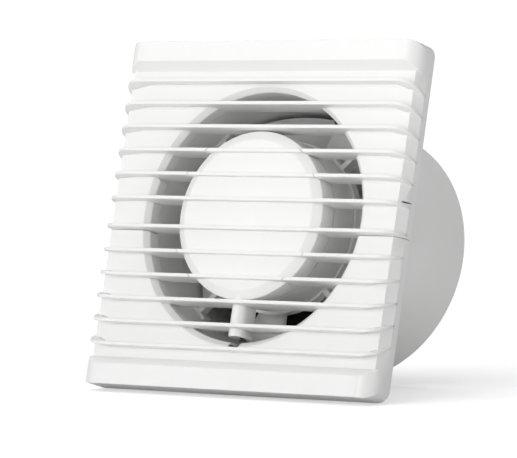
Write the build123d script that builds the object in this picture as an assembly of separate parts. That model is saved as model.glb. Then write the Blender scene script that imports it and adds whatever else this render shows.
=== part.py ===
"""Bathroom extractor fan for a round 150 mm wall duct.

The duct axis is the Y axis.  The front grille faces -Y and the spigot points to +Y.
+Z is up.  The origin is on the duct axis, in the wall plane (the back of the wall plate).
All sizes are in millimetres.
"""
import os

from build123d import *

# ---------------------------------------------------------------- driving sizes
panel_side = 200.0            # outer side of the square grille, at its rim
spigot_outer_r = 74.2         # outside of the duct spigot
spigot_wall = 2.5
spigot_end_y = 96.4           # how far the spigot reaches into the wall

# grille
cover_wall = 2.0
plate_y = -11.8               # front of the recessed face plate
band_y = -17.7                # front of the solid bands at the top and bottom
rim_depth = 5.1               # straight part of the side wall, next to the wall
side_run = 3.6                # how far the side slopes out between the plate and the rim
band_height = 11.8            # solid band at the top and bottom, at its front
band_lean = 4.8               # the band's inner face leans out by this much towards the plate
plan_corner_r = 11.0          # plan radius of the fins' and bands' corners
face_corner_r = 7.0           # radius of the panel's corners, seen from the front
cone_depth = 3.3              # bell mouth around the opening
inlet_ring_wall = 1.5         # ring behind the face plate, round the opening

# fins
fin_count_each_way = 6        # fins above, and again below, the axis
fin_thickness = 2.1
fin_proud = 7.0               # how far the fins stand in front of the face plate
fin_first_z = 8.26            # centre of the fins next to the axis
fin_edge_space = 6.64         # from the last fin's centre to the band
fin_pitch_step = 0.2          # each pitch is this much less than the one before
fin_side_lean = 165.0         # round the sides the fins slope towards a point this far back
fin_bend_start = 16.0         # the slope starts this far in from the panel's side
fin_bend_end = 6.0            # and is complete this far in
cover_rear_y = -1.2           # back of the fins and of the inlet ring

# parting line and release slot
seam_gap = 0.5
slot_height = 1.5
slot_length = 6.6
slot_front_y = -9.6

# motor cap, pod and channel
cap_r = 48.4
cap_bevel_run = 5.3           # the cap's face is this much smaller in radius
cap_face_y = -15.6
cap_bevel_depth = 2.9
cap_wall = 2.0
pod_wall = 2.0
channel_r = 4.8               # half-round wire channel below the cap
channel_axis_y = -8.9
channel_reach = 2.9           # the channel stops this far short of the duct's bore
channel_wall = 1.2
notch_half_x = 3.6            # cut in the bell mouth and its ring where the wires come through

# clearances
part_gap = 0.4                # between separate mouldings
fit_gap = 0.3                 # between pieces that locate each other
running_gap = 0.03            # shaft in its bushes, on the radius

# wall plate, spigot, pod and struts
plate_thickness = 2.5
wall_hole_r = 2.5
wall_hole_side = 15.0         # wall screws in from the panel's side
wall_hole_edge = 26.0         # and from its top or bottom
cable_notch_half = 4.8        # open notch for the supply cable's grommet
cable_notch_x = 45.0
cable_axis_edge = 9.0         # cable axis up from the panel's bottom
collar_width = 2.2            # collar at the spigot's foot, let into the plate's back
strut_thickness = 3.0
strut_depth = 6.0
strut_overlap = 3.0           # the strut ring covers this much of the pod, and stands out behind it
strut_ring_wall = 1.5
strut_foot_half = 6.0         # feet that the struts stand on, along the duct's bore
strut_foot_depth = 2.0

# motor
shaft_r = 3.0
shaft_front_y = -9.4
shaft_past_nut = 1.5
rotor_r = 13.0
air_gap = 0.5
stack_front_y = 0.4
stack_depth = 14.0
core_half_x = 22.0
core_top_z = 22.0
core_low_z = -36.0
window_half_x = 14.0
window_top_z = -17.5
window_low_z = -29.0
bracket_thickness = 1.2
bracket_half_x = 24.5
bracket_half_z = 7.0
bracket_hole_x = 18.5
bush_outer_r = 5.5
bush_length = 6.0
bolt_r = 1.5
bolt_head_r = 2.8
bolt_head_height = 1.8

# impeller
blade_count = 7
blade_start = 0.0             # angle of the first blade, round the shaft
hub_r = 20.0
hub_space = 5.2               # from the rear bush to the hub
hub_depth = 21.0
tip_gap = 2.2                 # blade tips to the duct bore
blade_thickness = 1.8
nut_across_flats = 10.0
nut_height = 4.0
washer_thickness = 1.0
washer_r = 7.0

# back-draught shutter
frame_depth = 7.0
frame_rear_inset = 3.0        # frame sits this far inside the spigot's end
frame_wall = 2.2
seat_width = 3.0
seat_thickness = 1.4
flap_thickness = 1.2
hinge_drop = 19.2             # hinge below the top of the frame's bore
hinge_forward = 0.4           # pin in front of the flap's middle, so that the flap falls shut
pin_inset = 7.8               # pin ends in from the frame's wall
knuckle_reach = 7.0           # outer knuckles in from the pin's ends
knuckle_half = 6.0
ear_inset = 18.0              # ears in from the pin's ends
shutter_pin_r = 1.25
knuckle_r = 2.6

# terminals
block_x = 22.0
block_length = 26.0
block_height = 8.6
block_depth = 7.0
clamp_side = 20.0             # cable clamp, to the side of the cable notch
clamp_edge = 7.5              # and up from the panel's bottom

# ---------------------------------------------------------------- worked-out sizes
half_panel = panel_side / 2
plate_half_x = half_panel - side_run
band_inner_z = half_panel - band_height
band_foot_z = band_inner_z - band_lean
spigot_inner_r = spigot_outer_r - spigot_wall
spigot_front_y = cover_rear_y + fit_gap
fin_front_y = plate_y - fin_proud
steps = fin_count_each_way - 1
fin_first_pitch = (band_foot_z - fin_edge_space - fin_first_z
                   + fin_pitch_step * steps * (steps - 1) / 2) / steps
ring_outer_r = spigot_inner_r + inlet_ring_wall
cavity_half = half_panel - cover_wall
back_half = cavity_half - 0.5
seam_z = -(fin_first_z + fin_thickness / 2)
cap_face_r = cap_r - cap_bevel_run
channel_low_z = -(spigot_inner_r - channel_reach)
pod_front_y = cover_rear_y + part_gap
pod_inner_r = cap_r - pod_wall
stack_rear_y = stack_front_y + stack_depth
ring_wire = 1.6
strap_spacer = ring_wire + 0.3
front_strap_y = stack_front_y - strap_spacer
rear_strap_y = stack_rear_y + strap_spacer
pod_rear_y = rear_strap_y + bush_length
hub_front_y = pod_rear_y + hub_space
shaft_end_y = hub_front_y + hub_depth + washer_thickness + nut_height + shaft_past_nut
wall_hole_x = half_panel - wall_hole_side
wall_hole_z = half_panel - wall_hole_edge
cable_axis_z = -(half_panel - cable_axis_edge)
block_low_z = -(back_half - 0.3)
tip_r = spigot_inner_r - tip_gap
frame_rear_y = spigot_end_y - frame_rear_inset
frame_front_y = frame_rear_y - frame_depth
frame_outer_r = spigot_inner_r - fit_gap
frame_inner_r = frame_outer_r - frame_wall


# ---------------------------------------------------------------- helpers
def block(x0, x1, y0, y1, z0, z1):
    """A box between two corners."""
    box = Box(x1 - x0, y1 - y0, z1 - z0)
    return Pos((x0 + x1) / 2, (y0 + y1) / 2, (z0 + z1) / 2) * box


def drum(radius, y0, y1, x=0.0, z=0.0):
    """A cylinder along Y."""
    body = Rot(90, 0, 0) * Cylinder(radius, y1 - y0)
    return Pos(x, (y0 + y1) / 2, z) * body


def cone_y(front_r, rear_r, y0, y1):
    """A cone along Y, with its first radius at the front."""
    body = Rot(-90, 0, 0) * Cone(front_r, rear_r, y1 - y0)
    return Pos(0, (y0 + y1) / 2, 0) * body


def plan_slab(half_x, front_y, back_y, corner_r, z0, z1):
    """A slab with its two front corners rounded in plan."""
    outline = Pos(0, (front_y + back_y) / 2) * Rectangle(2 * half_x, back_y - front_y)
    corners = outline.vertices().sort_by(Axis.Y)[:2]
    outline = fillet(corners, corner_r)
    return extrude(Pos(0, 0, z0) * outline, z1 - z0)


def plan_prism(points, z0, z1):
    """A prism along Z with the outline given in X and Y, made on both sides."""
    right = extrude(Pos(0, 0, z0) * make_face(Polyline(*points, close=True)), z1 - z0)
    return right + mirror(right, Plane.YZ)


def fin_heights():
    """Centre heights of the fins above the axis, from the axis outwards."""
    heights = []
    z = fin_first_z
    pitch = fin_first_pitch
    for _ in range(fin_count_each_way):
        heights.append(z)
        z += pitch
        pitch -= fin_pitch_step
    return heights


def fin_slab(z, half_x, front_y, back_y, corner_r):
    return plan_slab(half_x, front_y, back_y, corner_r, z - fin_thickness / 2, z + fin_thickness / 2)


def fin_section(x, z, back_y, lean):
    """Cross-section of a fin at one place along X, leaning towards mid height at its back."""
    half = fin_thickness / 2
    shift = -z * (back_y - fin_front_y) / fin_side_lean * lean
    points = (
        (x, fin_front_y - 0.5, z - half),
        (x, fin_front_y, z - half),
        (x, back_y, z - half + shift),
        (x, back_y, z + half + shift),
        (x, fin_front_y, z + half),
        (x, fin_front_y - 0.5, z + half))
    return make_face(Polyline(*points, close=True))


def fin_outside(z):
    """The part of a fin outside the face plate: straight in front, leaning round the sides."""
    back_y = -rim_depth + 0.8
    bend_x = half_panel - fin_bend_start
    side_x = half_panel - fin_bend_end
    end_x = half_panel + 1
    level = fin_slab(z, bend_x, fin_front_y, back_y, 0.1)
    for side in (1, -1):
        bend = loft([fin_section(side * bend_x, z, back_y, 0.0),
                     fin_section(side * side_x, z, back_y, 1.0)], ruled=True)
        flank = loft([fin_section(side * side_x, z, back_y, 1.0),
                      fin_section(side * end_x, z, back_y, 1.0)], ruled=True)
        level += bend
        level += flank
    outline = plan_slab(half_panel, fin_front_y, back_y, plan_corner_r, -half_panel, half_panel)
    return level & outline


# ---------------------------------------------------------------- grille, before it is parted
def grille_shell():
    """Square cover with a recessed plate, sloping sides and a solid band top and bottom."""
    outer = plan_slab(half_panel, band_y, 0, plan_corner_r, -half_panel, half_panel)
    front_outline = RectangleRounded(panel_side, panel_side, face_corner_r)
    outer &= extrude(Plane.XZ * front_outline, 2 * abs(band_y), both=True)
    recess = Plane.YZ * make_face(Polyline(
        (plate_y, -band_foot_z),
        (plate_y, band_foot_z),
        (band_y, band_inner_z),
        (fin_front_y - 1, band_inner_z),
        (fin_front_y - 1, -band_inner_z),
        (band_y, -band_inner_z),
        close=True))
    outer -= extrude(recess, half_panel + 1, both=True)
    outer -= plan_prism([
        (plate_half_x, plate_y),
        (half_panel, -rim_depth),
        (half_panel + 1, -rim_depth),
        (half_panel + 1, plate_y - 1),
        (plate_half_x, plate_y - 1)], -band_foot_z, band_foot_z)
    cavity = plan_prism([
        (0, plate_y + cover_wall),
        (plate_half_x - cover_wall, plate_y + cover_wall),
        (cavity_half, -rim_depth + 0.5),
        (cavity_half, 1),
        (0, 1)], -cavity_half, cavity_half)
    for side in (1, -1):
        z_pair = sorted((side * (band_inner_z + cover_wall), side * cavity_half))
        cavity += plan_slab(cavity_half, band_y + cover_wall, 1, plan_corner_r - cover_wall, *z_pair)
    return outer - cavity


def inlet_ring():
    return drum(ring_outer_r, plate_y + 0.2, cover_rear_y)


def inlet_bore():
    straight = drum(spigot_inner_r, plate_y - 1, 1)
    mouth = cone_y(spigot_outer_r, spigot_inner_r, plate_y, plate_y + cone_depth)
    return straight + mouth


def fins(heights):
    """Fins in front of the plate, round its sides, and right through the opening."""
    behind = plan_prism([
        (0, plate_y + 0.5),
        (plate_half_x - 1, plate_y + 0.5),
        (half_panel - 1.5, -rim_depth + 0.5),
        (half_panel - 1.5, 1),
        (0, 1)], -half_panel, half_panel)
    outside = Part()
    inside = Part()
    for z in heights:
        outside += fin_outside(z)
        inside += fin_slab(z, spigot_outer_r + 5, plate_y - 1, cover_rear_y, 0.5)
    return (outside - behind) + (inside & drum(spigot_inner_r + 0.5, plate_y - 1, cover_rear_y))


def cap_envelope(gap):
    """Outside of the motor cap, grown by a gap."""
    bevel_y = cap_face_y + cap_bevel_depth
    face = cone_y(cap_face_r + gap, cap_r + gap, cap_face_y - gap, bevel_y - gap)
    return face + drum(cap_r + gap, bevel_y - gap, 2)


def channel_envelope(gap):
    """Outside of the half-round wire channel, grown by a gap."""
    radius = channel_r + gap
    low = channel_low_z - gap
    rod = Pos(0, channel_axis_y, (low - cap_r + 6) / 2) * Cylinder(radius, -cap_r + 6 - low)
    return rod + block(-radius, radius, channel_axis_y, cover_rear_y + gap, low, -cap_r + 6)


upper_fins = fin_heights()
lower_fins = [-z for z in upper_fins]
cut_fins = [z for z in upper_fins + lower_fins if fin_first_z + 1 < abs(z) < cap_r - 5]

shell = grille_shell() + inlet_ring()
shell -= inlet_bore()
cap_space = cap_envelope(part_gap)
stub_space = drum(cap_r + part_gap, fin_front_y - 1, 2)
stub_space &= plan_slab(
    half_panel, fin_front_y - 2, 5, 1, -(cap_r - 5), cap_r - 5) - block(
    -half_panel, half_panel, -40, 5, -(fin_first_z + 5), fin_first_z + 5)

grille = shell + fins(upper_fins + lower_fins)
grille -= cap_space
grille -= stub_space
grille -= channel_envelope(part_gap)

release_slot = block(
    plate_half_x - 3, half_panel + 1,
    slot_front_y, slot_front_y + slot_length,
    fin_first_z + fin_thickness / 2 + 0.4, fin_first_z + fin_thickness / 2 + 0.4 + slot_height)
wire_notch = block(
    -notch_half_x, notch_half_x, plate_y - 1, cover_rear_y + 1,
    -spigot_outer_r - 0.5, -spigot_inner_r + 2)

big = 2 * panel_side
upper_cover = grille & block(-big, big, -big, big, seam_z, big)
upper_cover -= release_slot
lower_cover = grille & block(-big, big, -big, big, -big, seam_z - seam_gap)
lower_cover -= wire_notch


# ---------------------------------------------------------------- motor cap
def motor_cap():
    """Round cap over the motor, with short fins in line with the grille's, and the wire channel."""
    shape = cap_envelope(0) & block(-big, big, -big, cover_rear_y, -big, big)
    inner_face_y = cap_face_y + cap_wall
    shape -= drum(cap_r - cap_wall, inner_face_y + cap_bevel_depth, 5)
    shape -= cone_y(cap_face_r - cap_wall, cap_r - cap_wall, inner_face_y, inner_face_y + cap_bevel_depth)
    lip_r = pod_inner_r - fit_gap
    lip = drum(lip_r, cover_rear_y - 3, pod_front_y + 3) - drum(lip_r - 1.6, cover_rear_y - 4, 9)
    shape += lip
    shape += drum(lip_r + 0.8, cover_rear_y - 3, cover_rear_y) - drum(lip_r - 1.6, cover_rear_y - 4, 9)
    stubs = Part()
    for z in cut_fins:
        stubs += fin_slab(z, cap_r + 5, fin_front_y, cap_face_y + cap_bevel_depth, 0.5)
    stubs &= drum(cap_r, fin_front_y, cover_rear_y)
    stubs -= drum(cap_face_r - cap_wall, cap_face_y + 0.5, 5)
    shape += stubs
    channel = channel_envelope(0) - drum(cap_r - cap_wall, -40, 5)
    bore = Pos(0, channel_axis_y, -70) * Cylinder(channel_r - channel_wall, 80)
    bore += block(
        -(channel_r - channel_wall), channel_r - channel_wall,
        channel_axis_y, 2, -120, -30)
    return shape + channel - (bore & block(-big, big, -big, big, -big, -cap_r + cap_wall + 4))


cap = motor_cap()


# ---------------------------------------------------------------- wall plate, spigot, pod and struts
def wall_plate():
    """Square back plate that is screwed to the wall, with an open notch for the cable."""
    plate = extrude(
        Plane.XZ * RectangleRounded(2 * back_half, 2 * back_half, face_corner_r - cover_wall),
        plate_thickness)
    plate -= drum(ring_outer_r + part_gap, -10, 5)
    plate -= drum(spigot_outer_r + collar_width + 0.1, spigot_front_y, 5)
    for side in (1, -1):
        for up in (1, -1):
            plate -= drum(wall_hole_r, -5, 1, side * wall_hole_x, up * wall_hole_z)
    plate -= block(
        cable_notch_x - cable_notch_half, cable_notch_x + cable_notch_half, -5, 1,
        -back_half - 1, cable_axis_z + cable_notch_half)
    return plate


def duct_spigot():
    """Plain tube that goes into the duct, with a thin collar held behind the wall plate."""
    tube = drum(spigot_outer_r, spigot_front_y, spigot_end_y)
    tube += drum(spigot_outer_r + collar_width, spigot_front_y, 0)
    return tube - drum(spigot_inner_r, -10, spigot_end_y + 1)


def motor_pod():
    """Cup behind the motor cap that the motor is bolted into."""
    pod = drum(cap_r, pod_front_y, pod_rear_y) - drum(pod_inner_r, -10, pod_rear_y - pod_wall)
    pod -= drum(bush_outer_r + 2.5, pod_rear_y - 5, pod_rear_y + 1)
    for side in (1, -1):
        pod -= drum(bolt_r + 0.2, pod_rear_y - 5, pod_rear_y + 1, side * bracket_hole_x, 0)
    return pod


def strut_ring():
    """Ring round the pod, on four struts whose feet are pressed into the spigot's bore."""
    front_y = pod_rear_y - strut_overlap
    rear_y = front_y + strut_depth
    ring = drum(cap_r + strut_ring_wall, front_y, rear_y) - drum(cap_r, -10, rear_y + 1)
    arms = Part()
    for angle in (45, 135, 225, 315):
        arm = block(
            cap_r + 0.5, spigot_inner_r + 1, front_y, rear_y,
            -strut_thickness / 2, strut_thickness / 2)
        foot = block(
            spigot_inner_r - strut_foot_depth, spigot_inner_r + 1, front_y, rear_y,
            -strut_foot_half, strut_foot_half)
        arms += Rot(0, angle, 0) * (arm + foot)
    return ring + (arms & drum(spigot_inner_r, front_y - 1, rear_y + 1))


back_plate = wall_plate()
spigot = duct_spigot()
pod = motor_pod()
struts = strut_ring()


# ---------------------------------------------------------------- shaded-pole motor
# laminations: a round bore for the rotor, and a lower leg that the coil sits on
core = block(-core_half_x, core_half_x, stack_front_y, stack_rear_y, core_low_z, core_top_z)
core -= drum(rotor_r + air_gap, stack_front_y - 1, stack_rear_y + 1)
core -= block(
    -window_half_x, window_half_x, stack_front_y - 1, stack_rear_y + 1,
    window_low_z, window_top_z)
for side in (1, -1):
    core -= drum(bolt_r + 0.1, stack_front_y - 1, stack_rear_y + 1, side * bracket_hole_x, 0)
leg_mid_z = (window_low_z + core_low_z) / 2
leg_half_z = (window_low_z - core_low_z) / 2

bobbin_inner_gap = 0.2
bobbin_half_x = window_half_x - 0.4
bobbin_wall = 1.0
coil_build = 5.0                # thickness of the winding round the leg
coil_outer_z = leg_half_z + coil_build
coil_outer_y = stack_depth / 2 + coil_build
stack_mid_y = (stack_front_y + stack_rear_y) / 2


def around_leg(x0, x1, outer_y, outer_z, inner_y, inner_z):
    """A square sleeve round the core's lower leg, between two places along X."""
    sleeve = block(x0, x1, stack_mid_y - outer_y, stack_mid_y + outer_y,
                   leg_mid_z - outer_z, leg_mid_z + outer_z)
    return sleeve - block(x0 - 1, x1 + 1, stack_mid_y - inner_y, stack_mid_y + inner_y,
                          leg_mid_z - inner_z, leg_mid_z + inner_z)


inner_y = stack_depth / 2 + bobbin_inner_gap
inner_z = leg_half_z + bobbin_inner_gap
bobbin = around_leg(-bobbin_half_x, bobbin_half_x, inner_y + bobbin_wall, inner_z + bobbin_wall,
                    inner_y, inner_z)
for side in (1, -1):
    x_pair = sorted((side * bobbin_half_x, side * (bobbin_half_x - bobbin_wall)))
    bobbin += around_leg(*x_pair, coil_outer_y + 0.6, coil_outer_z + 0.6, inner_y, inner_z)
winding = around_leg(
    -(bobbin_half_x - bobbin_wall - 0.1), bobbin_half_x - bobbin_wall - 0.1,
    coil_outer_y, coil_outer_z, inner_y + bobbin_wall + 0.1, inner_z + bobbin_wall + 0.1)

# two copper shading rings set in slots beside the rotor bore
ring_slot_z = 7.0
shading_solids = []
for side in (1, -1):
    x_in = side * (rotor_r + air_gap - 1.0)
    x_out = side * (rotor_r + air_gap + 3.6)
    z_base = side * ring_slot_z
    x0, x1 = sorted((x_in + side * 1.4, x_out))
    z0, z1 = sorted((z_base, z_base + side * 5.0))
    outer = block(x0, x1, stack_front_y - ring_wire, stack_rear_y + ring_wire, z0, z1)
    inner = block(x0 - 1, x1 + 1, stack_front_y, stack_rear_y, z0 + ring_wire, z1 - ring_wire)
    ring = outer - inner
    shading_solids.append(ring)
    core -= block(x0 - 0.1, x1 + 0.1, stack_front_y - 1, stack_rear_y + 1, z0 - 0.1, z0 + ring_wire + 0.1)
    core -= block(x0 - 0.1, x1 + 0.1, stack_front_y - 1, stack_rear_y + 1, z1 - ring_wire - 0.1, z1 + 0.1)


def bearing_bracket(inner_y, direction):
    """Pressed strap across the stack, dished around the bush that it holds."""
    y0, y1 = sorted((inner_y, inner_y + direction * bracket_thickness))
    strap = block(-bracket_half_x, bracket_half_x, y0, y1, -bracket_half_z, bracket_half_z)
    strap += drum(bush_outer_r + 3.5, y0, y1)
    cup_end = inner_y + direction * bush_length
    y0, y1 = sorted((inner_y, cup_end))
    strap += drum(bush_outer_r + bracket_thickness, y0, y1)
    strap -= drum(bush_outer_r, inner_y - 20, inner_y + 20)
    for side in (1, -1):
        strap -= drum(bolt_r + 0.1, inner_y - 20, inner_y + 20, side * bracket_hole_x, 0)
    return strap


front_bracket = bearing_bracket(front_strap_y, -1)
rear_bracket = bearing_bracket(rear_strap_y, 1)


def bush(y0, y1):
    return drum(bush_outer_r, y0, y1) - drum(shaft_r + running_gap, y0 - 1, y1 + 1)


front_bush = bush(front_strap_y - bush_length, front_strap_y)
rear_bush = bush(rear_strap_y, rear_strap_y + bush_length)


def strap_spacers():
    """Tubes between each strap and the stack, round the bolts."""
    tubes = []
    for side in (1, -1):
        for y0, y1 in ((front_strap_y, stack_front_y), (stack_rear_y, rear_strap_y)):
            tube = drum(bolt_r + 1.3, y0 + 0.02, y1 - 0.02, side * bracket_hole_x, 0)
            tubes.append(tube - drum(bolt_r + 0.1, y0 - 1, y1 + 1, side * bracket_hole_x, 0))
    return tubes


motor_bolts = []
motor_nuts = []
head_front_y = front_strap_y - bracket_thickness - 0.02
nut_seat_y = pod_rear_y + 0.02
for side in (1, -1):
    bolt = drum(bolt_r, head_front_y, pod_rear_y + 4.0, side * bracket_hole_x, 0)
    head = drum(bolt_head_r, head_front_y - bolt_head_height, head_front_y, side * bracket_hole_x, 0)
    head -= block(
        side * bracket_hole_x - 0.4, side * bracket_hole_x + 0.4,
        head_front_y - bolt_head_height - 1, head_front_y - bolt_head_height + 0.9,
        -bolt_head_r, bolt_head_r)
    motor_bolts.append(bolt + head)
    hexagon = extrude(Plane.XZ * RegularPolygon(3.2, 6), -2.4)
    nut = Pos(side * bracket_hole_x, nut_seat_y, 0) * hexagon
    motor_nuts.append(nut - drum(bolt_r + 0.05, nut_seat_y - 1, nut_seat_y + 5, side * bracket_hole_x, 0))

# ---------------------------------------------------------------- rotor, shaft and impeller
rotor_core = drum(rotor_r, stack_front_y, stack_rear_y) - drum(shaft_r, -40, 40)
shaft = drum(shaft_r, shaft_front_y, shaft_end_y)


def blade():
    """One twisted blade, lofted from the hub to the tip and trimmed round at the tip."""
    mid_y = hub_front_y + hub_depth / 2
    sections = []
    for radius, chord, lean in ((hub_r - 3, 25.0, -38.0), (45.0, 38.0, -56.0), (tip_r + 4, 50.0, -66.0)):
        plane = Plane(origin=(radius, mid_y, 0), x_dir=(0, 0, 1), z_dir=(1, 0, 0))
        outline = plane * (Rot(0, 0, lean) * Rectangle(blade_thickness, chord))
        sections.append(outline)
    solid = loft(sections)
    return solid & drum(tip_r, hub_front_y - 20, hub_front_y + hub_depth + 20)


def impeller():
    hub = drum(hub_r, hub_front_y, hub_front_y + hub_depth)
    hub -= drum(hub_r - 2.0, hub_front_y - 1, hub_front_y + hub_depth - 2.5)
    hub += drum(shaft_r + 3.5, hub_front_y + 0.5, hub_front_y + hub_depth)
    one = blade() - drum(hub_r - 1.0, hub_front_y - 20, hub_front_y + hub_depth + 20)
    for index in range(blade_count):
        hub += Rot(0, blade_start + 360 / blade_count * index, 0) * one
    hub -= drum(shaft_r, hub_front_y - 20, hub_front_y + hub_depth + 20)
    return hub


fan_wheel = impeller()
washer_y = hub_front_y + hub_depth
wheel_washer = drum(washer_r, washer_y, washer_y + washer_thickness)
wheel_washer -= drum(shaft_r + 0.1, washer_y - 1, washer_y + 5)
nut_y = washer_y + washer_thickness
hexagon = extrude(Plane.XZ * RegularPolygon(nut_across_flats / 2, 6, major_radius=False), -nut_height)
wheel_nut = Pos(0, nut_y, 0) * hexagon - drum(shaft_r, nut_y - 1, nut_y + 10)

# ---------------------------------------------------------------- back-draught shutter
flap_front_y = frame_front_y + seat_thickness + fit_gap
hinge_y = flap_front_y + flap_thickness / 2 - hinge_forward
flap_hinge_z = frame_inner_r - hinge_drop
pin_half = (frame_inner_r ** 2 - flap_hinge_z ** 2) ** 0.5 - pin_inset
ear_x = pin_half - ear_inset
ear_half = 2.0
seat_inner_r = frame_inner_r - seat_width


def beside_flap(inset):
    """Space beside the flap's hinge, where the flap is narrowed to swing clear of the ring."""
    low_z = flap_hinge_z - 20
    low_x = ((frame_inner_r - 1.2) ** 2 - low_z ** 2) ** 0.5 - 0.6
    outline = (
        (pin_half + 6.5 - inset, flap_hinge_z + 9),
        (pin_half + 6.5 - inset, flap_hinge_z),
        (pin_half + 9.0 - inset, flap_hinge_z - 8),
        (low_x - inset, low_z),
        (spigot_outer_r + 9, low_z),
        (spigot_outer_r + 9, flap_hinge_z + 9))
    right = extrude(Plane.XZ * make_face(Polyline(*outline, close=True)), 2 * spigot_end_y, both=True)
    return right + mirror(right, Plane.YZ)


def shutter_frame():
    """Ring in the spigot's end, with a seat for the flap and a web above its hinge."""
    ring = drum(frame_outer_r, frame_front_y, frame_rear_y)
    ring -= drum(frame_inner_r, frame_front_y - 1, frame_rear_y + 1)
    seat = drum(frame_inner_r + 0.5, frame_front_y, frame_front_y + seat_thickness)
    way_through = drum(seat_inner_r, frame_front_y - 1, frame_rear_y) & block(
        -big, big, -big, big, -big, flap_hinge_z + knuckle_r + part_gap)
    seat -= way_through - beside_flap(seat_width)
    ears = Part()
    for side in (1, -1):
        ear = block(
            side * ear_x - ear_half, side * ear_x + ear_half, frame_front_y, hinge_y + 2.4,
            flap_hinge_z - 2.4, flap_hinge_z + 6)
        ears += ear
    frame = ring + seat + ears
    pin_hole = Pos(0, hinge_y, flap_hinge_z) * (Rot(0, 90, 0) * Cylinder(shutter_pin_r, 60))
    return frame - pin_hole


def shutter_flap():
    """Thin round flap, cut straight along its hinge, with three knuckles on the pin."""
    plate = drum(frame_inner_r - 1.2, flap_front_y, flap_front_y + flap_thickness)
    plate &= block(-big, big, -big, big, -big, flap_hinge_z + 0.5)
    plate -= beside_flap(0)
    for side in (1, -1):
        plate -= block(
            side * ear_x - ear_half - 0.5, side * ear_x + ear_half + 0.5, -big, big,
            flap_hinge_z - 4.6, flap_hinge_z + 5)
    outer_x = pin_half - knuckle_reach
    for x in (-outer_x, 0.0, outer_x):
        half = ear_x - ear_half - 4.0 if x == 0 else knuckle_half
        barrel = Pos(x, hinge_y, flap_hinge_z) * (Rot(0, 90, 0) * Cylinder(knuckle_r, 2 * half))
        plate += barrel
    bore = Pos(0, hinge_y, flap_hinge_z) * (Rot(0, 90, 0) * Cylinder(shutter_pin_r + 0.05, 120))
    return plate - bore


shutter_pin = Pos(0, hinge_y, flap_hinge_z) * (Rot(0, 90, 0) * Cylinder(shutter_pin_r, 2 * pin_half))
frame = shutter_frame()
flap = shutter_flap()

# ---------------------------------------------------------------- terminals and cable entry
back_front_y = -plate_thickness
block_rear_y = back_front_y
block_front_y = block_rear_y - block_depth
block_high_z = block_low_z + block_height
block_mid_z = (block_low_z + block_high_z) / 2
way_pitch = 10.0
way_x = [block_x - way_pitch / 2, block_x + way_pitch / 2]
bore_r = 1.9
bore_y = block_rear_y - 3.6
screw_r = 1.4

terminal_block = block(
    block_x - block_length / 2, block_x + block_length / 2,
    block_front_y, block_rear_y, block_low_z, block_high_z)
terminal_inserts = []
terminal_screws = []
for x in way_x:
    along_z = Pos(x, bore_y, block_mid_z) * Cylinder(bore_r + 0.7, 30)
    terminal_block -= along_z & block(-big, big, -big, big, block_low_z - 1, block_high_z + 1)
    insert = Pos(x, bore_y, block_mid_z) * Cylinder(bore_r + 0.6, block_height - 0.4)
    insert -= Pos(x, bore_y, block_mid_z) * Cylinder(bore_r - 0.5, 30)
    insert -= drum(screw_r, bore_y - 5, bore_y, x, block_mid_z)
    terminal_inserts.append(insert)
    terminal_block -= drum(screw_r + 0.3, block_front_y - 1, bore_y, x, block_mid_z)
    screw = drum(screw_r, block_front_y + 1.0, bore_y - 0.6, x, block_mid_z)
    screw -= block(x - 1.4, x + 1.4, block_front_y, block_front_y + 1.7, block_mid_z - 0.25, block_mid_z + 0.25)
    terminal_screws.append(screw)
block_screw = drum(1.25, block_rear_y - 4, -0.4, block_x, block_mid_z)
block_screw += drum(2.4, block_rear_y - 5.6, block_rear_y - 4, block_x, block_mid_z)
terminal_block -= drum(1.35, block_front_y - 1, 1, block_x, block_mid_z)
terminal_block -= drum(2.6, block_front_y - 1, block_rear_y - 4, block_x, block_mid_z)
back_plate -= drum(1.25, -5, -0.4, block_x, block_mid_z)

clamp_x = cable_notch_x + clamp_side
clamp_z = -(half_panel - clamp_edge)
clamp_half_x = 3.0
clamp_screw_dx = 8.0
clamp_thickness = 1.6
clamp_bar = block(
    clamp_x - clamp_screw_dx - clamp_half_x, clamp_x + clamp_screw_dx + clamp_half_x,
    back_front_y - 6.0, back_front_y - 6.0 + clamp_thickness,
    clamp_z - clamp_half_x, clamp_z + clamp_half_x)
clamp_screws = []
for dx in (-clamp_screw_dx, clamp_screw_dx):
    x = clamp_x + dx
    back_plate += drum(2.6, back_front_y - 4.4, back_front_y + 0.5, x, clamp_z)
    back_plate -= drum(1.25, back_front_y - 6, -0.4, x, clamp_z)
    clamp_bar -= drum(1.4, -20, 5, x, clamp_z)
    screw = drum(1.25, back_front_y - 6.0, -0.4, x, clamp_z)
    screw += drum(2.3, back_front_y - 7.6, back_front_y - 6.0, x, clamp_z)
    clamp_screws.append(screw)

# rubber grommet in the cable notch: a square sleeve with a lip in front of the plate
grommet_bore_r = 3.2
grommet_top_z = cable_axis_z + cable_notch_half
grommet_left_x = cable_notch_x - cable_notch_half
grommet_right_x = cable_notch_x + cable_notch_half
grommet = block(
    grommet_left_x, grommet_right_x, back_front_y - 1.4, -0.2, -back_half, grommet_top_z)
grommet += block(
    grommet_left_x - 1.4, grommet_right_x + 1.4, back_front_y - 1.4, back_front_y,
    -back_half, grommet_top_z + 1.4)
grommet -= drum(grommet_bore_r, -20, 5, cable_notch_x, cable_axis_z)

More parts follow.
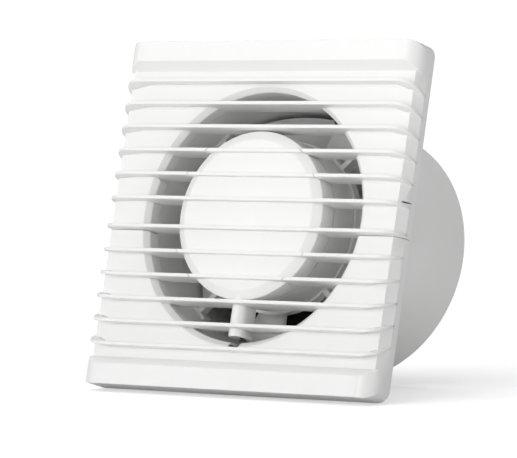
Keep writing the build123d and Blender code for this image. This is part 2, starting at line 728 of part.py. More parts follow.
# ---------------------------------------------------------------- export
nodes = {
    "wall_plate": back_plate,
    "duct_spigot": spigot,
    "motor_pod": pod,
    "strut_ring": struts,
    "upper_cover": upper_cover,
    "lower_cover": lower_cover,
    "motor_cap": cap,
    "stator_core": core,
    "coil_bobbin": bobbin,
    "coil_winding": winding,
    "shading_rings": Compound(children=shading_solids),
    "front_bearing_bracket": front_bracket,
    "rear_bearing_bracket": rear_bracket,
    "front_bush": front_bush,
    "rear_bush": rear_bush,
    "bracket_spacers": Compound(children=strap_spacers()),
    "motor_bolts": Compound(children=motor_bolts),
    "motor_nuts": Compound(children=motor_nuts),
    "rotor_core": rotor_core,
    "motor_shaft": shaft,
    "impeller": fan_wheel,
    "impeller_washer": wheel_washer,
    "impeller_nut": wheel_nut,
    "shutter_frame": frame,
    "shutter_flap": flap,
    "shutter_pin": shutter_pin,
    "terminal_block": terminal_block,
    "terminal_inserts": Compound(children=terminal_inserts),
    "terminal_screws": Compound(children=terminal_screws),
    "block_screw": block_screw,
    "cable_clamp": clamp_bar,
    "clamp_screws": Compound(children=clamp_screws),
    "cable_grommet": grommet,
}
os.makedirs("parts", exist_ok=True)
for name, shape in nodes.items():
    export_step(shape, f"parts/{name}.step")
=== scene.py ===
import math

import bmesh
import bpy
from mathutils import Matrix, Vector


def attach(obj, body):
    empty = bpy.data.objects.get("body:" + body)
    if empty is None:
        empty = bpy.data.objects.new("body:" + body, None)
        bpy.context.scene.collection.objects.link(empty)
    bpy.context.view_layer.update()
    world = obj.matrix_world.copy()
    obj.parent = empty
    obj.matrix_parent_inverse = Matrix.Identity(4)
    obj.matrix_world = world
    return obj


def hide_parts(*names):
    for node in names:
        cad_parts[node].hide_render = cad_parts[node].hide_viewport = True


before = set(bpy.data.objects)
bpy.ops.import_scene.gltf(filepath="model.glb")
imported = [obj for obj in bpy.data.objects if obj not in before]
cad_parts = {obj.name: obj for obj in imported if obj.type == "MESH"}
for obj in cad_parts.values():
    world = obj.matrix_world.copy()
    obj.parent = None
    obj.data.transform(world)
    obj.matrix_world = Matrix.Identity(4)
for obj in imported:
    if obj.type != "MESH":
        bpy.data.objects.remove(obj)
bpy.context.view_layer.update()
bpy.ops.object.select_all(action="DESELECT")

# Studio ------------------------------------------------------------------------------
# The fan lies on a white table, tipped back onto the lower edge of its panel and the rim
# of its spigot.  A broad window light shines from the front left, a weaker one from the
# right and the broadest from above, and a pale room fills in the rest.

# a long lens looks at it from the right and a little below
eye = Vector((1.2126, -1.6891, -0.3494))
look = Vector((-0.57603, 0.80095, 0.16328))
up = Vector((-0.02002, -0.21351, 0.97674))
across = look.cross(up).normalized()
turn = Matrix((across, across.cross(look), -look)).transposed()
camera_data = bpy.data.cameras.new("camera")
camera_data.lens = 261.4
camera_data.sensor_width = 36.0
camera_data.clip_end = 20.0
camera = bpy.data.objects.new("camera", camera_data)
camera.matrix_world = Matrix.Translation(eye) @ turn.to_4x4()
bpy.context.collection.objects.link(camera)
bpy.context.scene.camera = camera
bpy.context.scene.view_settings.view_transform = "Standard"

# the table's plane, through the panel's foot and the spigot's rim
table_up = Vector((0.0, -0.2585, 0.966))
panel_foot = Vector((0.0, 0.0, -0.1003))
table_size = 1.7


def soft_light(name, towards, strength, spread):
    """A distant light as wide as spread degrees, shining from towards."""
    data = bpy.data.lights.new(name, "SUN")
    data.energy = strength
    data.angle = math.radians(spread)
    light = bpy.data.objects.new(name, data)
    light.rotation_mode = "QUATERNION"
    light.rotation_quaternion = Vector(towards).normalized().to_track_quat("Z", "Y")
    bpy.context.collection.objects.link(light)


soft_light("window_light", (-0.35, -1.0, -0.18), 2.15, 56.0)
soft_light("side_light", (0.95, -0.35, -0.04), 0.85, 40.0)
soft_light("ceiling_light", (-0.25, -0.25, 1.0), 1.45, 80.0)

# the room lights the fan weakly, but looks white itself
world = bpy.data.worlds.new("white_room")
bpy.context.scene.world = world
world.use_nodes = True
room = world.node_tree
room.nodes.clear()
room_out = room.nodes.new("ShaderNodeOutputWorld")
room_mix = room.nodes.new("ShaderNodeMixShader")
room_path = room.nodes.new("ShaderNodeLightPath")
for place, strength in ((1, 0.2), (2, 1.1)):
    walls = room.nodes.new("ShaderNodeBackground")
    walls.inputs["Color"].default_value = (1.0, 1.0, 1.0, 1.0)
    walls.inputs["Strength"].default_value = strength
    room.links.new(walls.outputs["Background"], room_mix.inputs[place])
room.links.new(room_path.outputs["Is Camera Ray"], room_mix.inputs["Fac"])
room.links.new(room_mix.outputs["Shader"], room_out.inputs["Surface"])


class Socket:
    """A node output that can be added, subtracted and multiplied in Python."""

    def __init__(self, material, output):
        self.material = material
        self.output = output

    def maths(self, operation, first, second):
        return self.material.node("ShaderNodeMath", {"operation": operation}, {0: first, 1: second})

    def __add__(self, other):
        return self.maths("ADD", self, other)

    def __mul__(self, other):
        return self.maths("MULTIPLY", self, other)

    def __rsub__(self, other):
        return self.maths("SUBTRACT", other, self)

    __radd__ = __add__
    __rmul__ = __mul__


class Finish:
    """One material with a Principled shader, built node by node."""

    def __init__(self, name, **constants):
        self.made = bpy.data.materials.new(name)
        self.made.use_nodes = True
        self.tree = self.made.node_tree
        self.shader = self.tree.nodes["Principled BSDF"]
        for socket, value in constants.items():
            self.shader.inputs[socket.replace("_", " ")].default_value = value
        self.place = self.node("ShaderNodeTexCoord", output="Object")

    def node(self, kind, settings=None, inputs=None, output=0):
        """Adds a node: its settings first, then the values or links of its sockets."""
        made = self.tree.nodes.new(kind)
        for key, value in (settings or {}).items():
            if key == "stops":
                ramp = made.color_ramp.elements
                while len(ramp) < len(value):
                    ramp.new(1.0)
                for element, (position, shade) in zip(ramp, value):
                    element.position = position
                    element.color = (shade, shade, shade, 1.0)
            else:
                setattr(made, key, value)
        for key, value in (inputs or {}).items():
            if isinstance(value, Socket):
                self.tree.links.new(value.output, made.inputs[key])
            else:
                made.inputs[key].default_value = value
        return Socket(self, made.outputs[output])

    def noise(self, scale, detail=3.0, stretch=(1.0, 1.0, 1.0)):
        """Cloudy noise over the piece, stretched where the stretch is below one."""
        spot = self.node("ShaderNodeMapping", {}, {"Vector": self.place, "Scale": stretch})
        return self.node(
            "ShaderNodeTexNoise", {}, {"Vector": spot, "Scale": scale, "Detail": detail})

    def ramp(self, value, *stops):
        """Grey shades at the given stops of a value."""
        return self.node("ShaderNodeValToRGB", {"stops": stops}, {"Fac": value})

    def blend(self, share, first, second):
        """Mixes two colours by a value."""
        return self.node(
            "ShaderNodeMix", {"data_type": "RGBA"}, {0: share, 6: first, 7: second}, output=2)

    def feed(self, socket, value):
        """Links a value to a socket of the shader."""
        self.tree.links.new(value.output, self.shader.inputs[socket])

    def bumps(self, height, strength, distance):
        """Raises the surface by a height pattern, over a distance in metres."""
        self.feed("Normal", self.node(
            "ShaderNodeBump", {}, {"Height": height, "Strength": strength, "Distance": distance}))

    def on(self, piece):
        """Puts this finish on a piece, in place of any other."""
        piece.data.materials.clear()
        piece.data.materials.append(self.made)


# matt paper that looks quite white itself, but throws less light back up
paper = Finish("white_table_top", Roughness=0.9, Emission_Strength=1.0)
seen = paper.node("ShaderNodeLightPath")
paper_shade = paper.blend(paper.noise(3.0), (0.66, 0.66, 0.66, 1), (0.68, 0.68, 0.68, 1))
paper.feed("Base Color", paper.blend(seen, paper_shade, (0.95, 0.95, 0.95, 1)))
paper.feed("Emission Color", paper.blend(seen, (0.05, 0.05, 0.05, 1), (0.36, 0.36, 0.36, 1)))
bpy.ops.mesh.primitive_plane_add(size=table_size, location=panel_foot)
table = bpy.context.object
table.name = "table"
table.rotation_mode = "QUATERNION"
table.rotation_quaternion = table_up.to_track_quat("Z", "Y")
paper.on(table)


# Grille ------------------------------------------------------------------------------
# The square grille is two injection mouldings of white ABS, parted under the first fin
# below the middle.  It is shaped whole here, as the real pair is when it is clipped
# together, and parted at the end.

# sizes in millimetres; the wall's face is at y 0, and the room is in front of it, at -y
mm = 0.001
panel_half = 100.0
corner_r = 7.0
side_edge_r = 11.0
inside_half = 98.0
plate_y = -11.8
plate_back_y = -9.8
band_y = -17.7
band_foot_z = 83.4
plate_half = 96.4
fin_y = -18.8
fin_half = 1.05
foot_y = -1.2
opening_r = 71.7
cap_opening_r = 48.8
fin_heights = [8.26, 22.36, 36.26, 49.96, 63.46, 76.76]
heights_at_cap = fin_heights[1:3]
upper_edge_z = -9.45
lower_edge_z = -9.81
wire_half = 3.6


def settle(name):
    """Names the object just added and sets its place into its mesh."""
    bpy.ops.object.transform_apply(location=True, rotation=True, scale=True)
    bpy.context.object.name = name
    return bpy.context.object


def block(name, low, high):
    """A box between two corners, in millimetres."""
    bpy.ops.object.select_all(action="DESELECT")
    bpy.ops.mesh.primitive_cube_add(
        size=mm, location=[(a + b) / 2 * mm for a, b in zip(low, high)],
        scale=[b - a for a, b in zip(low, high)])
    return settle(name)


def choose(kind, test):
    """In edit mode, selects the verts, edges or faces whose place and direction pass the test."""
    mesh = bmesh.from_edit_mesh(bpy.context.object.data)
    bpy.ops.mesh.select_mode(type=kind[:-1].upper())
    bpy.ops.mesh.select_all(action="DESELECT")
    for item in getattr(mesh, kind):
        if kind == "verts":
            item.select_set(test(item.co / mm, item.normal))
        elif kind == "edges":
            first, last = (vert.co / mm for vert in item.verts)
            item.select_set(test((first + last) / 2, (last - first).normalized()))
        else:
            item.select_set(test(item.calc_center_median() / mm, item.normal))
    mesh.select_flush_mode()
    bmesh.update_edit_mesh(bpy.context.object.data)


def edit(piece):
    bpy.ops.object.select_all(action="DESELECT")
    bpy.context.view_layer.objects.active = piece
    piece.select_set(True)
    bpy.ops.object.mode_set(mode="EDIT")


def edited():
    bpy.ops.object.mode_set(mode="OBJECT")
    return bpy.context.object


def round_edges(piece, test, radius, segments):
    """Bevels the chosen edges of a piece."""
    edit(piece)
    choose("edges", test)
    bpy.ops.mesh.bevel(offset=radius * mm, segments=segments, profile=0.5, affect="EDGES")
    return edited()


def modify(piece, kind, **settings):
    """Adds a modifier to a piece and applies it."""
    bpy.context.view_layer.objects.active = piece
    modifier = piece.modifiers.new(kind.lower(), kind)
    for key, value in settings.items():
        setattr(modifier, key, value)
    bpy.ops.object.modifier_apply(modifier=modifier.name)
    return piece


def cut(piece, tool, operation="DIFFERENCE", keep=False):
    """Joins a tool to a piece, takes it away, or keeps what both share."""
    modify(piece, "BOOLEAN", object=tool, operation=operation, solver="EXACT")
    if not keep:
        bpy.data.objects.remove(tool)
    return piece


def copied(piece, name):
    """A copy with its own mesh."""
    twin = piece.copy()
    twin.data = piece.data.copy()
    twin.name = name
    bpy.context.collection.objects.link(twin)
    return twin


def mirrored(piece):
    """Moves a piece to the same place on the other side, from right to left."""
    edit(piece)
    bpy.ops.mesh.select_all(action="SELECT")
    bpy.ops.transform.mirror(constraint_axis=(True, False, False), center_override=(0, 0, 0))
    bpy.ops.mesh.flip_normals()
    return edited()


def smooth(piece, angle=32.0):
    """Smooth shading over the rounded edges, with the flats kept flat."""
    bpy.ops.object.select_all(action="DESELECT")
    bpy.context.view_layer.objects.active = piece
    piece.select_set(True)
    bpy.ops.object.shade_smooth_by_angle(angle=math.radians(angle))
    return modify(piece, "WEIGHTED_NORMAL", keep_sharp=True)


def turned(name, profile, sides=144, bevel=0.0, closed=False):
    """A solid, or a closed ring, turned about the duct's axis from (radius, y) points."""
    bpy.ops.object.select_all(action="DESELECT")
    radius, y = profile[0]
    bpy.ops.mesh.primitive_circle_add(
        vertices=sides, radius=radius * mm, location=(0, y * mm, 0), rotation=(math.pi / 2, 0, 0))
    piece = settle(name)
    edit(piece)
    bpy.ops.mesh.select_all(action="SELECT")
    if not closed:
        bpy.ops.mesh.edge_face_add()
        choose("edges", lambda place, way: True)
    for next_radius, next_y in profile[1:]:
        bpy.ops.mesh.extrude_edges_move(TRANSFORM_OT_translate={"value": (0, (next_y - y) * mm, 0)})
        ratio = next_radius / radius
        bpy.ops.transform.resize(value=(ratio, 1, ratio), center_override=(0, 0, 0))
        radius, y = next_radius, next_y
    if closed:
        bpy.ops.mesh.select_all(action="DESELECT")
        bpy.ops.mesh.select_mode(type="EDGE")
        bpy.ops.mesh.select_non_manifold()
        bpy.ops.mesh.bridge_edge_loops()
    else:
        bpy.ops.mesh.edge_face_add()
    bpy.ops.mesh.select_all(action="SELECT")
    bpy.ops.mesh.normals_make_consistent(inside=False)
    edited()
    if bevel:
        modify(piece, "BEVEL", width=bevel * mm, segments=3, limit_method="ANGLE",
               angle_limit=math.radians(40), use_clamp_overlap=True)
    return piece


def upright(way):
    return abs(way.z) > 0.99


# the panel is round at its corners and along its sides
grille = block("grille", (-panel_half, band_y, -panel_half), (panel_half, 0, panel_half))
round_edges(grille, lambda place, way: upright(way) and place.y < -17, side_edge_r, 12)
outline = block("outline", (-panel_half, -30, -panel_half), (panel_half, 9, panel_half))
round_edges(outline, lambda place, way: abs(way.y) > 0.99, corner_r, 10)
cut(grille, outline, "INTERSECT")

# the recess between the bands, with the bands' sloping inner faces
recess_mouth_z = 89.0
recess = block("recess", (-102, -18.7, -band_foot_z), (102, plate_y, band_foot_z))
edit(recess)
choose("faces", lambda place, normal: normal.y < -0.9)
bpy.ops.transform.resize(value=(1, 1, recess_mouth_z / band_foot_z), center_override=(0, 0, 0))
cut(grille, edited())

# the face plate slopes back at both sides, and its edge and the bands' edges are rounded
for side in (1, -1):
    slope = block("slope", (plate_half, -12.8, -band_foot_z), (102, plate_y, band_foot_z))
    edit(slope)
    choose("verts", lambda place, normal: place.x > 100 and place.y > -12)
    bpy.ops.transform.translate(value=(0, 10.4 * mm, 0))
    edited()
    cut(grille, slope if side > 0 else mirrored(slope))
round_edges(grille, lambda place, way: (
    upright(way) and abs(abs(place.x) - plate_half) < 0.01 and place.y < -11.7), 0.5, 3)
round_edges(
    grille, lambda place, way: abs(place.y - band_y) < 0.01 and abs(place.z) > 87, 0.45, 3)

# hollow behind, with walls 2 mm thick
hollow = block(
    "hollow", (-inside_half, plate_back_y, -inside_half), (inside_half, 1, inside_half))
edit(hollow)
choose("edges", lambda place, way: upright(way) and place.y < -9)
bpy.ops.mesh.bevel(offset=4.3 * mm, segments=1, affect="EDGES")
cut(grille, edited())
for low, high in ((90.4, 97.9), (-97.9, -90.4)):
    band_hollow = block("band_hollow", (-inside_half, -15.7, low), (inside_half, 0.8, high))
    round_edges(band_hollow, lambda place, way: upright(way) and place.y < -15, 9.0, 8)
    cut(grille, band_hollow)

# the inlet ring behind the face, and the bell mouth round the opening
inlet_ring = turned(
    "inlet_ring", [(73.2, -11.0), (73.2, foot_y), (60.0, foot_y), (60.0, -11.0)], closed=True)
cut(grille, inlet_ring, "UNION")
bell = turned("bell", [
    (75.1, -14.0), (75.1, -11.85), (74.55, -11.65), (74.2, -11.3), (72.05, -8.9), (71.8, -8.5),
    (opening_r, -8.0), (opening_r, 3.0)])
cut(grille, bell)

# a fin is a flat bar with a rounded nose that runs round both corners, and it is divided near
# its ends, where it bends
fin = block("fin", (-panel_half, fin_y, -fin_half), (panel_half, foot_y, fin_half))
round_edges(fin, lambda place, way: upright(way) and place.y < -18, side_edge_r, 12)
round_edges(
    fin, lambda place, way: abs(way.z) < 0.1 and (place.y < -7.9 or abs(place.x) > 99.9), 0.6, 3)
for bend_x in (84.0, 85.5, 87.0, 88.5):
    for side in (1, -1):
        edit(fin)
        bpy.ops.mesh.select_all(action="SELECT")
        bpy.ops.mesh.bisect(plane_co=(side * bend_x * mm, 0, 0), plane_no=(1, 0, 0))
        edited()

# the space behind the face plate, which the fins stay out of except in the opening
behind = block("behind", (-95.3, -10.8, -120), (95.3, 2, 120))
edit(behind)
choose("faces", lambda place, normal: abs(normal.x) > 0.9)
bpy.ops.mesh.extrude_region_shrink_fatten(TRANSFORM_OT_shrink_fatten={"value": 3.7 * mm})
choose("verts", lambda place, normal: abs(place.x) > 98 and place.y < -10)
bpy.ops.transform.translate(value=(0, 6.5 * mm, 0))
choose("faces", lambda place, normal: abs(normal.x) > 0.99)
bpy.ops.mesh.extrude_region_shrink_fatten(TRANSFORM_OT_shrink_fatten={"value": 2.0 * mm})
edited()
cut(behind, turned("opening", [(72.6, -14), (72.6, 4)]))

# twelve fins, whose ends lean towards the middle: four stop at the cap, where its own bars
# carry on, and two run across in front of it
lean_from_x = 84.0
lean_width = 10.0
lean_depth = 165.0
cap_space = turned(
    "cap_space", [(43.5, -16.0), (cap_opening_r, -13.1), (cap_opening_r, 4.0)])
stub_space = turned("stub_space", [(cap_opening_r, -22.0), (cap_opening_r, 4.0)])
for height in [-z for z in reversed(fin_heights)] + fin_heights:
    bar = copied(fin, "bar")
    edit(bar)
    mesh = bmesh.from_edit_mesh(bar.data)
    for vert in mesh.verts:
        reach = min(max((abs(vert.co.x) / mm - lean_from_x) / lean_width, 0), 1)
        ease = reach * reach * (3 - 2 * reach)
        vert.co.z += height * (1 - (vert.co.y / mm - fin_y) / lean_depth * ease) * mm
    bmesh.update_edit_mesh(bar.data)
    edited()
    cut(bar, behind, keep=True)
    cut(bar, stub_space if abs(height) in heights_at_cap else cap_space, keep=True)
    cut(grille, bar, "UNION")
for tool in (fin, behind, stub_space):
    bpy.data.objects.remove(tool)
cut(grille, cap_space)

# the half-round wire channel runs down through the lower fins
channel_space = block("channel_space", (-5.2, -14.1, -69.2), (5.2, 4.0, -42.0))
round_edges(channel_space, lambda place, way: upright(way) and place.y < -14, 5.15, 16)
cut(grille, channel_space)

# parted at the seam, with the release slot above it and the notch for the wires below
upper_cover = copied(grille, "grille_upper_half")
cut(upper_cover, block("above_seam", (-120, -40, upper_edge_z), (120, 20, 120)), "INTERSECT")
cut(upper_cover, block("release_slot", (93.4, -9.6, 9.7), (101, -3.0, 10.6)))
lower_cover = grille
lower_cover.name = "grille_lower_half"
cut(lower_cover, block("below_seam", (-120, -40, -120), (120, 20, lower_edge_z)), "INTERSECT")
cut(lower_cover, block("wire_notch", (-wire_half, -13.0, -74.7), (wire_half, 1, -69.7)))

# satin white ABS, with the mould's fine spark texture and faint flow marks
white_abs = Finish("white_satin_abs", IOR=1.5)
grain = white_abs.noise(1700.0, 2.0)
flow = white_abs.noise(14.0, 3.0, (1.0, 1.0, 0.35))
flow_marks = white_abs.ramp(flow, (0.35, 0.0), (0.65, 1.0))
white_abs.feed("Base Color", white_abs.blend(
    flow_marks, (0.875, 0.875, 0.87, 1), (0.905, 0.905, 0.90, 1)))
white_abs.feed("Roughness", 0.30 + flow * 0.10 + grain * 0.06)
white_abs.bumps(grain, 0.10, 0.00006)
for half, body, node in ((upper_cover, "upper_cover_body", "upper_cover"),
                         (lower_cover, "lower_cover_body", "lower_cover")):
    # tiny gaps at the roots of the fins are closed
    edit(half)
    bpy.ops.mesh.select_all(action="SELECT")
    bpy.ops.mesh.fill_holes(sides=4)
    edited()
    smooth(half)
    white_abs.on(half)
    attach(half, body)
    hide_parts(node)


# Motor cap ---------------------------------------------------------------------------
# A round cap of the same ABS is pushed onto the front of the motor pod.  Short bars on it
# carry four of the fins across, and a half-round channel below it hides the motor's wires.
cap_r = 48.4
motor_cap = turned("round_motor_cap", [
    (43.1, -15.6), (cap_r, -12.7), (cap_r, foot_y), (46.1, foot_y), (46.1, 2.2), (44.5, 2.2),
    (44.5, -4.2), (46.4, -4.2), (46.4, -12.0), (41.8, -13.6)])
modify(motor_cap, "BEVEL", width=0.5 * mm, segments=3, limit_method="ANGLE",
       angle_limit=math.radians(20), use_clamp_overlap=True)
cap_edge = turned("cap_edge", [(48.35, -22.0), (48.35, 4.0)])
for height in [-z for z in reversed(heights_at_cap)] + heights_at_cap:
    bar = block("cap_bar", (-50, fin_y, height - fin_half), (50, -13.0, height + fin_half))
    round_edges(bar, lambda place, way: abs(way.x) > 0.99 and place.y < -18, 0.6, 3)
    cut(bar, cap_edge, "INTERSECT", keep=True)
    cut(motor_cap, bar, "UNION")
bpy.data.objects.remove(cap_edge)

wire_channel = block("wire_channel", (-4.8, -13.7, -68.8), (4.8, -0.8, -43.0))
round_edges(wire_channel, lambda place, way: upright(way) and place.y < -13, 4.75, 16)
round_edges(wire_channel, lambda place, way: place.z < -68.7 and not upright(way), 0.4, 2)
cut(wire_channel, turned("under_cap", [(46.0, -22.0), (46.0, 4.0)]))
cut(motor_cap, wire_channel, "UNION")
channel_bore = block("channel_bore", (-wire_half, -12.5, -72.0), (wire_half, 2.0, -40.0))
round_edges(channel_bore, lambda place, way: upright(way) and place.y < -12, 3.55, 12)
cut(channel_bore, turned("cap_inside", [(44.0, -22.0), (44.0, 4.0)]))
cut(motor_cap, channel_bore)
smooth(motor_cap)
white_abs.on(motor_cap)
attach(motor_cap, "housing")
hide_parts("motor_cap")


# Duct spigot -------------------------------------------------------------------------
# A plain tube of white ABS goes into the duct.  A thin collar at its foot is held
# between the wall plate and the wall.
spigot_r = 74.2
spigot_end_y = 96.4
collar_r = 76.4
spigot = turned("spigot_tube", [
    (spigot_r, spigot_end_y), (spigot_r, 0.0), (collar_r, 0.0), (collar_r, -0.9),
    (opening_r, -0.9), (opening_r, spigot_end_y)], sides=192, bevel=0.35, closed=True)
smooth(spigot)
white_abs.on(spigot)
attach(spigot, "housing")
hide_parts("duct_spigot")


# Wall plate, pod and struts ----------------------------------------------------------
# The wall plate is screwed to the wall behind the covers.  The pod holds the motor, and a
# ring with four struts holds the pod in the spigot.  All are plain mouldings of the ABS.
for name in ("wall_plate", "motor_pod", "strut_ring"):
    white_abs.on(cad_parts[name])


# Motor -------------------------------------------------------------------------------
# A shaded-pole motor: a riveted stack of electrical steel, a nylon bobbin with its taped
# winding on the lower leg, two copper shading rings, and a steel rotor on a ground shaft.
laminations = Finish("stacked_laminations", Metallic=0.85)
layer = laminations.node(
    "ShaderNodeTexWave", {"bands_direction": "Y"},
    {"Vector": laminations.place, "Scale": 320.0, "Distortion": 0.4, "Detail": 1.0})
oxide = laminations.noise(90.0, 4.0)
laminations.feed("Base Color", laminations.blend(
    oxide, (0.20, 0.205, 0.215, 1), (0.36, 0.35, 0.34, 1)))
laminations.feed("Roughness", 0.38 + oxide * 0.25)
laminations.bumps(layer, 0.5, 0.0001)
for name in ("stator_core", "rotor_core"):
    laminations.on(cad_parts[name])

bobbin_nylon = Finish("natural_nylon", IOR=1.53)
cloud = bobbin_nylon.noise(40.0, 3.0)
bobbin_nylon.feed("Base Color", bobbin_nylon.blend(
    cloud, (0.74, 0.71, 0.61, 1), (0.82, 0.79, 0.70, 1)))
bobbin_nylon.feed("Roughness", 0.42 + cloud * 0.15)
bobbin_nylon.bumps(bobbin_nylon.noise(900.0, 2.0), 0.12, 0.00008)
bobbin_nylon.on(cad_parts["coil_bobbin"])

winding_tape = Finish("yellow_coil_tape", IOR=1.5)
turn_edge = winding_tape.node(
    "ShaderNodeTexWave", {"bands_direction": "X", "wave_profile": "SAW"},
    {"Vector": winding_tape.place, "Scale": 60.0, "Distortion": 0.6, "Detail": 1.0})
winding_tape.feed("Base Color", winding_tape.blend(
    turn_edge, (0.62, 0.44, 0.07, 1), (0.86, 0.68, 0.16, 1)))
winding_tape.feed("Roughness", 0.30 + winding_tape.noise(200.0) * 0.2)
winding_tape.bumps(turn_edge, 0.35, 0.00015)
winding_tape.on(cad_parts["coil_winding"])

copper = Finish("drawn_copper", Metallic=1.0)
tarnish = copper.noise(60.0, 5.0)
copper.feed("Base Color", copper.blend(tarnish, (0.80, 0.42, 0.26, 1), (0.58, 0.28, 0.17, 1)))
copper.feed("Roughness", 0.24 + tarnish * 0.3)
copper.bumps(copper.noise(500.0, 2.0, (1.0, 0.1, 1.0)), 0.1, 0.00005)
copper.on(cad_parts["shading_rings"])

bronze = Finish("oiled_sintered_bronze", Metallic=0.9)
pores = bronze.node("ShaderNodeTexVoronoi", {}, {"Vector": bronze.place, "Scale": 1600.0})
bronze.feed("Base Color", bronze.blend(pores, (0.30, 0.19, 0.10, 1), (0.55, 0.38, 0.22, 1)))
bronze.feed("Roughness", 0.50 - pores * 0.15)
bronze.bumps(pores, 0.3, 0.00008)
for name in ("front_bush", "rear_bush"):
    bronze.on(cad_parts[name])


def bright_steel(name, dull, clean, roughness, marks):
    """A bright metal with fine marks left by pressing, drawing or grinding."""
    steel = Finish(name, Metallic=1.0)
    blotch = steel.noise(70.0, 4.0)
    scratches = steel.noise(marks, 3.0, (1.0, 0.08, 1.0))
    steel.feed("Base Color", steel.blend(blotch, dull, clean))
    steel.feed("Roughness", roughness + blotch * 0.12 + scratches * 0.08)
    steel.bumps(scratches, 0.15, 0.00005)
    return steel


zinc_steel = bright_steel(
    "zinc_plated_steel", (0.52, 0.54, 0.57, 1), (0.70, 0.71, 0.72, 1), 0.26, 500.0)
for name in ("front_bearing_bracket", "rear_bearing_bracket", "bracket_spacers", "motor_bolts",
             "motor_nuts", "impeller_washer", "impeller_nut", "terminal_screws", "block_screw",
             "clamp_screws"):
    zinc_steel.on(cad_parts[name])
ground_steel = bright_steel(
    "ground_shaft_steel", (0.50, 0.50, 0.51, 1), (0.66, 0.67, 0.68, 1), 0.14, 1500.0)
for name in ("motor_shaft", "shutter_pin"):
    ground_steel.on(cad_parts[name])


# Impeller ----------------------------------------------------------------------------
# Seven twisted blades moulded in one piece with their hub, in a tougher, slightly greyer
# plastic, pushed onto the shaft and held by a washer and nut.
blade_plastic = Finish("white_blade_plastic", IOR=1.5)
swirl = blade_plastic.noise(22.0, 4.0)
blade_plastic.feed("Base Color", blade_plastic.blend(
    swirl, (0.78, 0.78, 0.775, 1), (0.84, 0.84, 0.83, 1)))
blade_plastic.feed("Roughness", 0.36 + swirl * 0.14)
blade_plastic.bumps(blade_plastic.noise(1300.0, 2.0), 0.10, 0.00006)
blade_plastic.on(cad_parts["impeller"])


# Back-draught shutter ----------------------------------------------------------------
# A black polypropylene ring is pressed into the spigot's end.  A thin flap of the same
# polypropylene hangs from a steel pin across it, opens with the air flow and falls shut.  Their
# near-black colour is partly painted shade, standing in for the deep dark down the duct.
black_plastic_and_painted_shade = Finish("black_polypropylene_and_painted_shade", IOR=1.49)
haze = black_plastic_and_painted_shade.noise(35.0, 4.0)
# painted shade as well as black plastic: the colour is kept near pure black so that the duct's
# depth behind the impeller looks black
black_plastic_and_painted_shade.feed("Base Color", black_plastic_and_painted_shade.blend(
    haze, (0.006, 0.006, 0.0065, 1), (0.014, 0.014, 0.015, 1)))
black_plastic_and_painted_shade.feed("Roughness", 0.44 + haze * 0.18)
black_plastic_and_painted_shade.bumps(black_plastic_and_painted_shade.noise(1100.0, 2.0), 0.2, 0.00008)
black_plastic_and_painted_shade.on(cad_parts["shutter_frame"])

# a thin disc with a rim and three ribs, cut straight along its hinge
hinge_y = 88.3
hinge_z = 50.0
flap_r = 68.0
flap_front_y = 88.1
flap_rear_y = 89.3
flap = turned("flap_disc", [
    (flap_r, flap_front_y), (flap_r, flap_rear_y), (66.6, flap_rear_y), (66.2, 88.8), (1.0, 88.8)],
    sides=160, bevel=0.15)
cut(flap, block("below_hinge", (-90, 80, -90), (90, 100, hinge_z + 0.5)), "INTERSECT")
for x in (-36.0, 0.0, 36.0):
    rib = block("flap_rib", (x - 0.6, 88.4, -80), (x + 0.6, flap_rear_y, hinge_z - 6))
    round_edges(rib, lambda place, way: upright(way) and place.y > 89.2, 0.25, 3)
    cut(rib, turned("inside_rim", [(66.9, 80.0), (66.9, 100.0)]), "INTERSECT")
    cut(flap, rib, "UNION")

# its shoulders are narrowed to swing clear of the ring, and slots clear the ring's two ears
shoulder_x = 46.54
shoulder_foot_z = hinge_z - 20
ear_x = 22.04
slot_half = 2.5
for side in (1, -1):
    shoulder = block("shoulder", (shoulder_x, 80, shoulder_foot_z), (83, 100, hinge_z + 9))
    for height, outward in ((hinge_z, 0.0), (hinge_z - 8, 2.5), (shoulder_foot_z, 13.9)):
        edit(shoulder)
        if height > shoulder_foot_z:
            bpy.ops.mesh.select_all(action="SELECT")
            bpy.ops.mesh.bisect(plane_co=(0, 0, height * mm), plane_no=(0, 0, 1))
        choose("verts", lambda place, normal: place.x < 55 and abs(place.z - height) < 0.01)
        bpy.ops.transform.translate(value=(outward * mm, 0, 0))
        edited()
    cut(flap, shoulder if side > 0 else mirrored(shoulder))
    slot_x = side * ear_x
    cut(flap, block(
        "ear_slot", (slot_x - slot_half, 80, hinge_z - 4.6), (slot_x + slot_half, 100, 60)))


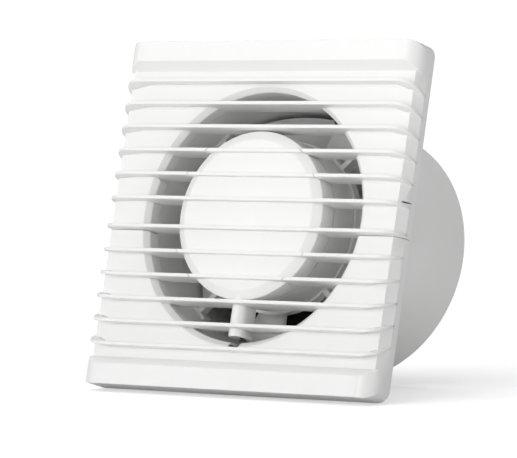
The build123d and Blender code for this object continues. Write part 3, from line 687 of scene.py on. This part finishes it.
def hinge_rod(name, x, half, radius):
    """A rod along the hinge, about x, for a knuckle or the pin's hole."""
    bpy.ops.object.select_all(action="DESELECT")
    bpy.ops.mesh.primitive_cylinder_add(
        vertices=40, radius=radius * mm, depth=2 * half * mm, rotation=(0, math.pi / 2, 0),
        location=(x * mm, hinge_y * mm, hinge_z * mm))
    return settle(name)


# three knuckles turn on the pin
for x, half in ((-33.04, 6.0), (0.0, 16.04), (33.04, 6.0)):
    knuckle = hinge_rod("flap_knuckle", x, half, 2.6)
    round_edges(knuckle, lambda place, way: abs(place.x - x) > half - 0.1, 0.35, 3)
    cut(flap, knuckle, "UNION")
cut(flap, hinge_rod("pin_hole", 0.0, 70.0, 1.35))
smooth(flap)
black_plastic_and_painted_shade.on(flap)
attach(flap, "flap")
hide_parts("shutter_flap")


# Terminals and cable entry -----------------------------------------------------------
# A two-way block of white nylon with brass sleeves is screwed to the wall plate.  The supply
# cable comes in through a rubber grommet and is held by a nylon bar with two screws.
block_nylon = Finish("terminal_nylon", IOR=1.53)
milk = block_nylon.noise(50.0, 3.0)
block_nylon.feed("Base Color", block_nylon.blend(
    milk, (0.72, 0.72, 0.69, 1), (0.82, 0.82, 0.80, 1)))
block_nylon.feed("Roughness", 0.34 + milk * 0.2)
block_nylon.bumps(block_nylon.noise(800.0, 2.0), 0.12, 0.00008)
for name in ("terminal_block", "cable_clamp"):
    block_nylon.on(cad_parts[name])

brass = Finish("nickel_free_brass", Metallic=1.0)
stain = brass.noise(80.0, 5.0)
brass.feed("Base Color", brass.blend(stain, (0.80, 0.62, 0.28, 1), (0.60, 0.44, 0.19, 1)))
brass.feed("Roughness", 0.22 + stain * 0.25)
brass.bumps(brass.noise(700.0, 2.0, (1.0, 1.0, 0.1)), 0.12, 0.00005)
brass.on(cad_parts["terminal_inserts"])

rubber = Finish("grommet_rubber", IOR=1.5)
bloom = rubber.noise(120.0, 4.0)
rubber.feed("Base Color", rubber.blend(bloom, (0.018, 0.018, 0.018, 1), (0.045, 0.045, 0.044, 1)))
rubber.feed("Roughness", 0.62 + bloom * 0.2)
rubber.bumps(rubber.noise(900.0, 3.0), 0.3, 0.0001)
rubber.on(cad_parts["cable_grommet"])
